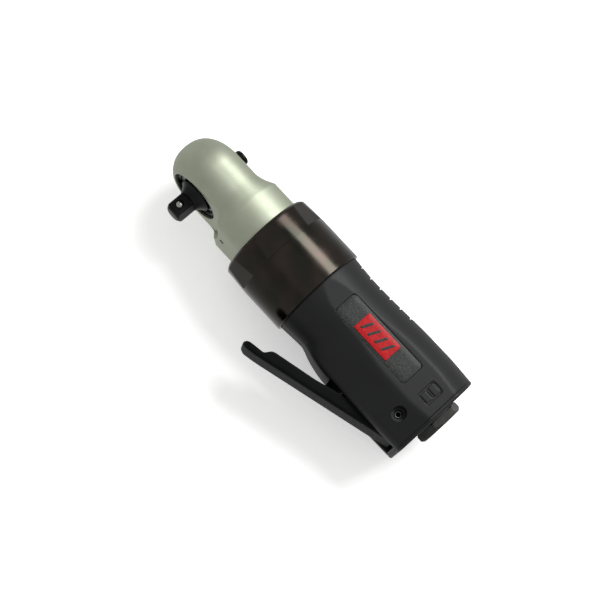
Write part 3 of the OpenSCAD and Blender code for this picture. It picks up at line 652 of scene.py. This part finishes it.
def makeHead(s):
    power = s["power"]
    faceHalf = s["noseRadius"] * (1 - (abs(s["face"]) / s["halfDepth"]) ** power) ** (1 / power)
    seatHalf = s["noseRadius"] * (1 - (s["seat"] / s["halfDepth"]) ** power) ** (1 / power)
    faceAngle = math.pi - math.atan2(faceHalf, -s["face"])
    seatAngle = math.atan2(seatHalf, s["seat"])
    top = spaced([0, seatAngle - 0.015, seatAngle], 0.035)
    side = spaced([seatAngle, seatAngle + 0.015, faceAngle - 0.02, faceAngle], 0.035)
    low = spaced([faceAngle, faceAngle + 0.02, math.pi], 0.035)
    lineEnd = np.array([s["facingRadius"]])
    for _ in range(20):
        across = headRadius(s, lineEnd, faceAngle) * math.sin(faceAngle)
        lineEnd = np.sqrt(s["facingRadius"] ** 2 - across ** 2)
    lineEnd = float(lineEnd[0])
    front = spaced([0, 0.25, lineEnd - 0.2, lineEnd], 0.7)
    back = spaced([lineEnd, lineEnd + 0.2, s["rampEnd"] - 0.15, s["rampEnd"] + 0.15,
                   s["faceFade"], s["outlineEnd"]], 0.6)
    rows = np.concatenate([front[:-1], back])

    def skin(x, angle):
        return aroundX(x, headRadius(s, x, angle), angle)

    def both(grid):
        return [(grid, False), (grid * (1, 1, -1), False)]

    grids = both(skin(rows[:, None] + 0 * side, side + 0 * rows[:, None]))
    # towards the back of the head the skin starts at the knob's round seat
    seatX = np.sqrt(np.maximum(seatHalf ** 2 - (neckRadius(s, top) * np.sin(top)) ** 2, 0))
    fade, x = s["seatFade"], rows[:, None]
    x = np.where(x < fade, seatX + x * (fade - seatX) / fade, x)
    grids += both(skin(x, top + 0 * x))
    # towards the front it starts at the round wall that the facing cutter leaves
    faceX = np.full_like(low, s["facingRadius"])
    for _ in range(20):
        faceX = np.sqrt(np.maximum(s["facingRadius"] ** 2
                                   - (headRadius(s, faceX, low) * np.sin(low)) ** 2, 0))
    fade, x = s["faceFade"], back[:, None]
    x = np.where(x < fade, faceX + (x - lineEnd) * (fade - faceX) / (fade - lineEnd), x)
    grids += both(skin(x, low + 0 * x))
    # round nose: the same outline turned about the drive axis
    turn = spaced([0, math.pi], 0.045)[:, None]
    radius = neckRadius(s, side)
    grids.append((aroundY(radius * np.cos(side), radius * np.sin(side), -turn), False))

    def plate(edge, level, profile):
        # from an edge ring to a round hole, and on down the hole's own profile
        outer = edge * (1, 0, 1) + (0, level, 0)
        angle = np.arctan2(outer[:, 0], outer[:, 2])
        hole = aroundY(level, profile[0][1], angle)
        across = [outer * (1 - t) + hole * t for t in (0, 0.03, 0.97, 1)]
        down = [aroundY(y, r, angle) for y, r in rounded(profile, 0.12, 2)]
        return np.stack([edge] + across + down[1:])

    t = turn[:, 0]
    noseFace = aroundY(s["face"], faceHalf, -t)
    lineNear = skin(front, faceAngle + 0 * front)
    cut = skin(faceX, low)
    ring = np.concatenate([noseFace, lineNear[1:-1] * (1, 1, -1), cut[:-1] * (1, 1, -1),
                           cut[::-1][:-1], lineNear[::-1][:-1]])
    grids.append((plate(ring, s["face"], s["openingProfile"]), True))
    noseSeat = aroundY(s["seat"], seatHalf, -t)
    rim = skin(seatX, top)
    ring = np.concatenate([noseSeat, rim[::-1][1:-1] * (1, 1, -1), rim[:-1]])
    grids.append((plate(ring, s["seat"], s["seatProfile"]), True))
    # rear: the outline steps down to the round part inside the nut, and into the bores
    around = np.concatenate([top[:-1], side[:-1], low[:-1]])
    around = np.concatenate([around, [math.pi], 2 * math.pi - around[::-1][:-1]])
    end = skin(0 * around + s["outlineEnd"], around)
    tail = [aroundX(x, r, around) for x, r in s["rearProfile"]]
    grids.append((np.stack([end] + tail), True))
    obj = newPiece("headHousing", grids, "blasted_steel", "tool_body", ["head_housing"], sharp=36)
    place, radius, floor = s["dimple"]
    bore = np.array([[-20, 0], [-20, radius], [floor, radius], [floor, 0]])
    cutWith(obj, turnedY(bore, 40, centre=(place, 0)), 36)


makeHead(head)
print("head made")


drive = {
    "turn": 14.0,            # degrees from square to the tool
    "half": 3.175, "corner": 4.2, "tip": -20.4, "tipRadius": 3.0, "tipLength": 1.2,
    "shoulder": -12.4,
    "profile": [[-12.4, 4.35], [-11.3, 4.9], [-10.3, 5.7], [-9.3, 7.0], [-6.9, 7.0], [-6.9, 10.5],
                [-5.3, 10.5], [-5.3, 8.0], [4.9, 8.0], [4.9, 5.05], [10.9, 5.05], [10.9, 0]],
    "ball": (-16.5, 1.65),
    "stemRoom": (-2.6, 3.05),    # floor and radius of the hole for the knob's stem
    # rooms for the pawl and the plunger: lowest and highest corner
    "rooms": [((-9, -2.6, -5.4), (-2.8, 2.6, 5.4)), ((-5, -1.3, -3), (-1, 1.3, 3))],
}
knob = {
    "turn": 14.0, "width": 6.0, "length": 12.0, "low": 11.7, "high": 14.0, "edge": 0.7,
    "stem": 3.0, "stemLow": -1.8,
}


def about(turn, points):
    # turns points about the drive axis by an angle in degrees, from +Z towards -X
    c, k = math.cos(math.radians(turn)), math.sin(math.radians(turn))
    x, y, z = points[..., 0], points[..., 1], points[..., 2]
    return np.stack([x * c - z * k, y, z * c + x * k], -1)


def makeDrive(s):
    # below the shoulder the radius is the least of the square's and of a cone's at the tip, taken
    # as a soft minimum so that the edges are slightly round
    angle = circle(288)
    square = s["half"] / np.maximum(np.abs(np.cos(angle)), np.abs(np.sin(angle)))
    square = (square ** -40.0 + s["corner"] ** -40.0) ** (-1 / 40)
    y = np.r_[s["tip"], spaced([s["tip"] + 0.05, s["tip"] + s["tipLength"] + 0.3,
                                s["shoulder"] - 0.35, s["shoulder"] - 0.05, s["shoulder"]], 0.3)]
    cone = np.interp(y, [s["tip"], s["tip"] + 0.12, s["tip"] + s["tipLength"], s["shoulder"]],
                     [s["tipRadius"] - 0.25, s["tipRadius"], s["corner"] + 0.05, s["corner"] + 2])
    radius = (square ** -50.0 + cone[:, None] ** -50.0) ** (-1 / 50)
    radius = np.concatenate([0 * radius[:1], radius])
    y = np.r_[s["tip"], y]
    lower = aroundY(y[:, None], radius, angle)
    profile = rounded(s["profile"], [0, 0.5, 0.8, 0.8, 0.4, 0.35, 0.3, 0.2, 0.3, 0.1, 0.4, 0], 3)
    upper = turnedY(profile, 288)
    grid = about(s["turn"], np.concatenate([lower, upper]))
    obj = newPiece("squareDrive", [(grid, True)], "black_oxide_steel", "drive", ["anvil"], sharp=40)
    spot, radius = s["ball"]
    t = circle(40)
    ballHole = [np.stack([radius * k * np.cos(t), spot + radius * k * np.sin(t), z + 0 * t], -1)
                for k, z in ((0, -2.4), (1, -2.4), (1, 6), (0, 6))]
    cutWith(obj, about(s["turn"], np.stack(ballHole)), 40)
    # room for the knob's stem, the pawl and the plunger
    low, radius = s["stemRoom"]
    stem = np.array([[low, 0], [low, radius], [12, radius], [12, 0]])
    cutWith(obj, about(s["turn"], turnedY(stem, 48)), 40)
    for low, high in s["rooms"]:
        cutWith(obj, about(s["turn"], block(low, high)), 40)


def block(low, high):
    # a plain box as four rings from pole to pole along y
    x0, y0, z0 = low
    x1, y1, z1 = high
    ring = np.array([[x0, 0, z0], [x0, 0, z1], [x1, 0, z1], [x1, 0, z0]])
    middle = ring.mean(0)
    return np.stack([middle + (ring - middle) * k + (0, y, 0)
                     for y, k in ((y0, 0), (y0, 1), (y1, 1), (y1, 0))])


def stadium(half, length, inset, count):
    # outline of a bar with round ends, moved inwards by inset
    t = circle(count) + np.pi / count
    radius = half - inset
    shift = np.where(np.cos(t) > 0, 1, -1) * (length / 2 - half)
    return radius * np.sin(t), shift + radius * np.cos(t)


def makeKnob(s):
    # a bar whose outline moves inwards along a quarter circle at its rounded edges, on a stem
    quarter = np.linspace(0, np.pi / 2, 6)
    edge, half = s["edge"], s["width"] / 2
    rows = [(s["stemLow"], None, 0), (s["stemLow"], None, s["stem"]), (s["low"], None, s["stem"]),
            (s["low"], 0.3, 0), (s["low"] + 0.3, 0, 0)]
    rows += [(s["high"] - edge * (1 - math.sin(q)), edge * (1 - math.cos(q)), 0) for q in quarter]
    rows += [(s["high"], edge + 0.6, 0), (s["high"], half - 0.3, 0)]
    grid, count = [], 96
    t = circle(count) + np.pi / count
    for y, inset, radius in rows:
        if inset is None:
            x, z = radius * np.sin(t), radius * np.cos(t)
        else:
            x, z = stadium(half, s["length"], inset, count)
        grid.append(np.stack([x, y + 0 * x, z], -1))
    grid.append(grid[-1] * (0, 1, 1))
    newPiece("reversingKnob", [(about(-s["turn"], np.stack(grid)), True)], "black_oxide_steel",
             "reverser", ["reversing_knob"], sharp=45)


makeDrive(drive)
makeKnob(knob)
print("drive and knob made")


lever = {
    "half": 6.0, "wall": 1.4, "web": 1.66, "edge": 1.1,
    # underside and upper edge, as x, y points from the tip to the rear
    "under": [[53.0, -34.0], [53.5, -34.95], [55.4, -35.3], [60.0, -34.4], [67.2, -32.5],
              [107.0, -21.85], [115.7, -19.5]],
    "upper": [[53.0, -33.8], [53.4, -33.0], [54.5, -32.6], [61.0, -31.6], [62.8, -28.7],
              [80.5, -24.4], [100.0, -18.2], [107.4, -11.2], [109.8, -9.8], [112.4, -11.3],
              [115.0, -13.6], [115.7, -14.2]],
    "tip": 53.0, "paddleEnd": 61.2, "tipRadius": 3.2,
    # more places with a section of their own
    "marks": [53.08, 53.3, 53.7, 54.4, 55.2, 56.2, 60.4, 62.0, 62.9, 115.3, 115.6, 115.7],
}


def makeLever(s):
    # a channel: at each x the section runs round the web and both walls; on the paddle, in front
    # of the walls, the inner faces close up into a solid strip
    under = rounded(s["under"], [0, 0.8, 1.5, 6, 20, 20, 0], 4)
    upper = rounded(s["upper"], [0, 0.6, 1.0, 1.2, 2.2, 8, 12, 2, 2.4, 2, 0.6, 0], 5)
    x = spaced(s["marks"] + [s["tip"], s["paddleEnd"]], 0.7)
    low = np.interp(x, under[:, 0], under[:, 1])
    high = np.interp(x, upper[:, 0], upper[:, 1])
    inner = np.minimum(low + s["web"], high)
    isWall = step(x, s["paddleEnd"] - 0.2, s["paddleEnd"] + 0.3)
    inner = inner * isWall + (high - 0.05) * (1 - isWall)
    # the tip narrows along an arc
    reach = np.clip((x - s["tip"]) / s["tipRadius"], 0, 1)
    half = s["half"] - s["tipRadius"] * (1 - np.sqrt(1 - (1 - reach) ** 2))
    thin = half - s["wall"]
    edge = np.minimum(s["edge"], (high - low) * 0.42)

    def column(y, z):
        return np.stack([x, y + 0 * x, z + 0 * x], -1)

    quarter = np.linspace(0, np.pi / 2, 5)
    lip = 0.3
    line = [column(low, half * k) for k in (0, 0.3, 0.6)]
    line += [column(low + edge * (1 - math.cos(q)), half - edge + edge * math.sin(q))
             for q in quarter]
    line += [column(low + edge + (high - lip - low - edge) * k, half) for k in (0.3, 0.65, 1.0)]
    line += [column(high - 0.1, half - 0.1), column(high, half - lip)]
    line += [column(high, thin + lip), column(high - 0.1 * isWall, thin + 0.1),
             column(high - lip * isWall, thin)]
    line += [column(high - lip * isWall + (inner + 0.5 * isWall - high + lip * isWall) * k, thin)
             for k in (0.35, 0.7, 1.0)]
    line += [column(inner + 0.15 * isWall, thin - 0.15), column(inner, thin - 0.5)]
    line += [column(inner, thin * k) for k in (0.55, 0.25, 0)]
    right = np.stack(line, 1)
    ring = np.concatenate([right, right[:, 1:-1][:, ::-1] * (1, 1, -1)], 1)
    middle = np.stack([np.stack([x[e], (low[e] + inner[e]) / 2, 0]) for e in (0, -1)])
    tip = np.broadcast_to(middle[0], ring[:1].shape)
    grid = np.concatenate([tip, ring])
    # the rear end is closed between the outer and inner line of the channel
    count = right.shape[1]
    rearOuter, rearInner = right[-1, :count // 2], right[-1, ::-1][:count // 2]
    rear = np.stack([rearOuter, rearInner])
    centre = right[-1, count // 2:count - count // 2]
    grids = [(grid, True), (rear, False), (rear * (1, 1, -1), False)]
    if len(centre):
        gap = np.stack([np.stack([rearOuter[-1], centre[0]]), np.stack([rearInner[-1], centre[0]])])
        grids += [(gap, False), (gap * (1, 1, -1), False)]
    newPiece("throttleLever", grids, "lever_paint", "lever", ["throttle_lever"], smooth=1, sharp=50)


makeLever(lever)
print("lever made")


inlet = {
    "hexHalf": 8.5, "hexStart": 120.4, "end": 123.6, "chamfer": 1.0, "chamferIn": 1.5,
    "bore": 5.6, "mouth": 6.6, "threadFrom": 113.2, "pitch": 1.41, "threadDepth": 0.55,
    "sleeve": 7.4, "front": 98.6, "screenBore": 5.2, "airway": 4.2,
    "screen": (112.4, 111.6),       # rear and front of the recess for the screen
}
cap = {
    "start": 118.3, "end": 119.8, "bore": 7.5, "edge": 0.8,
    "slots": {"every": 32.0, "from": 10.0, "to": 13.4, "half": 1.0, "middle": 11.7, "depth": 1.3},
}


def makeInlet(s):
    # outside: the least of the hexagon's and of the end chamfer's radius; inside: a thread whose
    # ridge follows a helix, a triangle wave of x / pitch - angle / turn
    angle = circle(240)
    sixth = np.pi / 3
    turn = (angle + sixth / 2 + np.pi / 6) % sixth - sixth / 2
    hexagon = s["hexHalf"] / np.cos(turn)
    x = spaced([s["hexStart"], s["hexStart"] + 0.2, s["end"] - s["chamfer"], s["end"]], 0.25)
    tall = s["hexHalf"] / math.cos(sixth / 2)
    cone = np.interp(x, [s["hexStart"], s["hexStart"] + 0.2, s["end"] - s["chamfer"], s["end"]],
                     [tall - 0.25, tall + 0.1, tall + 0.1, tall - s["chamferIn"]])
    outer = (hexagon ** -90.0 + cone[:, None] ** -90.0) ** (-1 / 90)
    inX = spaced([s["screen"][0], s["threadFrom"], s["end"] - 0.7, s["end"]], 0.16)[::-1]
    phase = (inX[:, None] / s["pitch"] - angle / (2 * np.pi)) % 1
    ridge = np.abs(phase - 0.5) * 2
    fade = step(inX, s["threadFrom"], s["threadFrom"] + 1.5)
    fade = fade * (1 - step(inX, s["end"] - 1.0, s["end"] - 0.3))
    inner = s["bore"] + s["threadDepth"] * ridge * fade[:, None]
    mouth = s["mouth"] - np.clip(s["end"] - inX, 0, 1)
    inner = np.maximum(inner, np.maximum(mouth, 0)[:, None] + 0 * angle)
    screenRear, screenFront = s["screen"]
    rows = [(s["hexStart"], s["sleeve"])] + list(zip(x, outer)) + list(zip(inX, inner))
    rows += [(screenRear, s["screenBore"]), (screenFront, s["screenBore"]),
             (screenFront, s["airway"]), (s["front"], s["airway"]), (s["front"], s["sleeve"]),
             (s["hexStart"], s["sleeve"])]
    grid = np.stack([aroundX(at, r, angle) for at, r in rows])
    newPiece("inletBushing", [(grid, True)], "black_oxide_inlet", "tool_body", ["inlet_bushing"],
             sharp=35)


def makeCap(s, body):
    # rings between the handle's own outline and the inlet's hole; exhaust slots are let in
    slots = s["slots"]
    base = spaced([0, math.pi], 0.03)
    every, halfAngle = math.radians(slots["every"]), slots["half"] / slots["middle"]
    edges = [every * i + sign * halfAngle + nudge
             for i in range(3) for sign in (-1, 1) for nudge in (-0.006, 0.006)]
    base = np.unique(np.r_[base, [e for e in edges if e > 0]])
    half = handleRadius(body, np.array([body["end"]]), base)[0]
    angle = np.concatenate([base, 2 * np.pi - base[1:-1][::-1]])
    outer = np.concatenate([half, half[1:-1][::-1]])
    turn = np.abs((angle + np.pi) % (2 * np.pi) - np.pi)
    inSlot = np.zeros(len(angle))
    for i in range(3):
        inSlot = np.maximum(inSlot, np.abs(turn - every * i) < halfAngle)
    edge = s["edge"]
    rows = [(s["start"], s["bore"]), (s["start"], outer - 0.1), (s["start"] + 0.1, outer)]
    rows += [(s["end"] - edge * (1 - math.sin(q)), outer - edge * (1 - math.cos(q)))
             for q in np.linspace(0, np.pi / 2, 6)]
    for radius, depth in ((slots["to"] + 0.06, 0), (slots["to"] - 0.06, 1), (slots["to"] - 0.5, 1),
                          (slots["from"] + 0.5, 1), (slots["from"] + 0.06, 1),
                          (slots["from"] - 0.06, 0), (s["bore"] + 0.15, 0)):
        rows.append((s["end"] - slots["depth"] * inSlot * depth, radius))
    rows += [(s["end"] - 0.15, s["bore"]), (s["start"], s["bore"])]
    grid = np.stack([aroundX(at, r, angle) for at, r in rows])
    newPiece("rearCap", [(grid, True)], "moulded_nylon", "tool_body", ["rear_cap"], sharp=40)


makeInlet(inlet)
makeCap(cap, handle)
print("inlet and rear cap made")


badge = {
    "plateDepth": 0.28, "gap": 0.15,
    "plateX": (67.4, 103.4), "plateHalf": 5.2, "plateCorner": 1.8, "plateLow": 16.72,
    "from": 76.4, "length": 16.5, "half": 3.9, "corner": 0.5, "low": 17.02, "thick": 0.26,
    "bars": 4, "lean": 24.0, "barHalf": 2.3,
}


def roundedBox(x0, x1, half, corner, low, high, edge=0.08):
    # a flat plate with round corners and a small round at its upper edge, from pole to pole
    middle = (x0 + x1) / 2
    long = (x1 - x0) / 2

    def outline(inset):
        a, b, r = long - inset, half - inset, max(corner - inset, 0.02)
        t = np.linspace(0, np.pi / 2, 7)
        pts = []
        for n, (sideX, sideY) in enumerate(((1, 1), (-1, 1), (-1, -1), (1, -1))):
            turn = t + n * np.pi / 2
            pts.append(np.stack([sideX * (a - r) + r * np.cos(turn),
                                 sideY * (b - r) + r * np.sin(turn)], -1))
        return np.concatenate(pts)

    rows = [(low, half - 0.01), (low, 0), (high - edge, 0), (high - 0.3 * edge, 0.3 * edge),
            (high, edge), (high, half * 0.5), (high, half - 0.01)]
    grid = []
    for z, inset in rows:
        line = outline(min(inset, half - 0.02, long - 0.02))
        grid.append(np.stack([middle + line[:, 0], line[:, 1], 0 * line[:, 0] + z], -1))
    first, last = grid[0] * (1, 0, 1), grid[-1] * (1, 0, 1)
    return np.stack([first] + grid + [last])


def makePlates(s):
    x0, x1 = s["plateX"]
    gap, low, top = s["gap"], s["plateLow"], s["low"] + s["thick"]
    plate = roundedBox(x0 + gap, x1 - gap, s["plateHalf"] - gap, s["plateCorner"], low,
                       low + s["plateDepth"])
    newPiece("namePlate", [(plate, True)], "plate_film", "tool_body", ["name_plate"])
    face = roundedBox(s["from"], s["from"] + s["length"], s["half"], s["corner"], s["low"], top)
    newPiece("badge", [(face, True)], "red_badge", "tool_body", ["badge"])
    # plain slanted bars printed in charcoal, in place of lettering
    lean = math.tan(math.radians(s["lean"]))
    grids = []
    for i in range(s["bars"]):
        middle = s["from"] + s["length"] * (i + 0.8) / (s["bars"] + 0.6)
        bar = roundedBox(middle - 0.55, middle + 0.55, s["barHalf"], 0.2, top - 0.1, top + 0.03,
                         0.02)
        bar[..., 0] += bar[..., 1] * lean
        grids.append((bar, True))
    newPiece("badgeBars", grids, "plate_film", "tool_body")


icon = {"from": 109.2, "floor": 16.9, "high": 0.34, "bars": [
    # x from, x to, middle y, half width: an open book in plain blocks
    (0.8, 4.8, 1.95, 1.35), (0.8, 4.8, -1.95, 1.35), (1.4, 4.2, 0.0, 0.28)]}


def makeIcon(s):
    grids = []
    for x0, x1, y, half in s["bars"]:
        raised = roundedBox(s["from"] + x0, s["from"] + x1, half, 0.25, s["floor"] - 0.2,
                            s["floor"] + s["high"], 0.1)
        grids.append((raised + (0, y, 0), True))
    newPiece("iconRelief", grids, "moulded_nylon", "tool_body")


pin = {"at": (109.8, -12.7), "radius": 1.6, "bore": 0.9, "half": 12.7, "slit": 0.5}


def makePin(s):
    # a spring pin: strip rolled into a tube with a slit, chamfered at both ends
    gap = s["slit"] / s["radius"]
    angle = np.linspace(gap / 2, 2 * np.pi - gap / 2, 60) + 0.9
    outline = closedLoop([[-s["half"], s["bore"]], [-s["half"], s["radius"] - 0.3],
                          [-s["half"] + 0.5, s["radius"]], [s["half"] - 0.5, s["radius"]],
                          [s["half"], s["radius"] - 0.3], [s["half"], s["bore"]]], 0.1, 2)
    z, r = outline[:, :1], outline[:, 1:]
    grid = np.stack([s["at"][0] + r * np.cos(angle), s["at"][1] + r * np.sin(angle),
                     z + 0 * angle], -1)
    ends = []
    for column in (0, -1):
        edge = grid[:, column]
        ends.append((np.stack([edge, np.broadcast_to(edge.mean(0), edge.shape)]), False))
    newPiece("leverPin", [(grid, False)] + ends, "spring_steel", "tool_body", ["lever_pin"],
             sharp=40)


makePlates(badge)
makeIcon(icon)
makePin(pin)
print("plates and pin made")


studio = {
    "ambient": (0.7, 0.48),     # brightness of the surroundings below and above the horizon
    "key": {"from": (0.04, 0.66, 0.75), "distance": 0.75, "size": (0.5, 0.28), "power": 5.0},
    "top": {"from": (0.15, -0.25, 0.95), "distance": 0.9, "size": (0.9, 0.9), "power": 0.5},
    "floorSize": 3.0, "floorGap": 0.00001,
}


def addLight(name, s, centre):
    data = bpy.data.lights.new(name, "AREA")
    data.shape = "RECTANGLE"
    data.size, data.size_y = s["size"]
    data.energy = s["power"]
    obj = bpy.data.objects.new(name, data)
    bpy.context.scene.collection.objects.link(obj)
    back = Vector(s["from"]).normalized()
    side = (Vector((1, 0, 0)) - back * back.x).normalized()
    obj.matrix_world = (Matrix.Translation(centre + back * s["distance"])
                        @ Matrix((side, back.cross(side), back)).transposed().to_4x4())


def addStudio(s):
    scene = bpy.context.scene
    scene.view_settings.view_transform = "Standard"
    world = bpy.data.worlds.new("studio")
    world.use_nodes = True
    tree = world.node_tree
    height = addNode(tree, "SeparateXYZ", None, {0: addNode(tree, "TexCoord").outputs["Generated"]})
    low, high = s["ambient"]
    tree.links.new(between(tree, height.outputs["Z"], low, high, -0.1, 0.7),
                   tree.nodes["Background"].inputs["Strength"])
    tree.nodes["Background"].inputs["Color"].default_value = (1, 1, 1, 1)
    scene.world = world
    centre = Vector(camera["target"])
    addLight("keyLight", s["key"], centre)
    addLight("topLight", s["top"], centre)
    half = s["floorSize"] / 2
    z = cadBox[0][2] - s["floorGap"]
    mesh = bpy.data.meshes.new("floor")
    mesh.from_pydata([(-half, -half, z), (half, -half, z), (half, half, z), (-half, half, z)],
                     [], [(0, 1, 2, 3)])
    mesh.materials.append(studioPaper())
    floor = bpy.data.objects.new("floor", mesh)
    scene.collection.objects.link(floor)
    floor.visible_glossy = False


addStudio(studio)
print("studio lit")
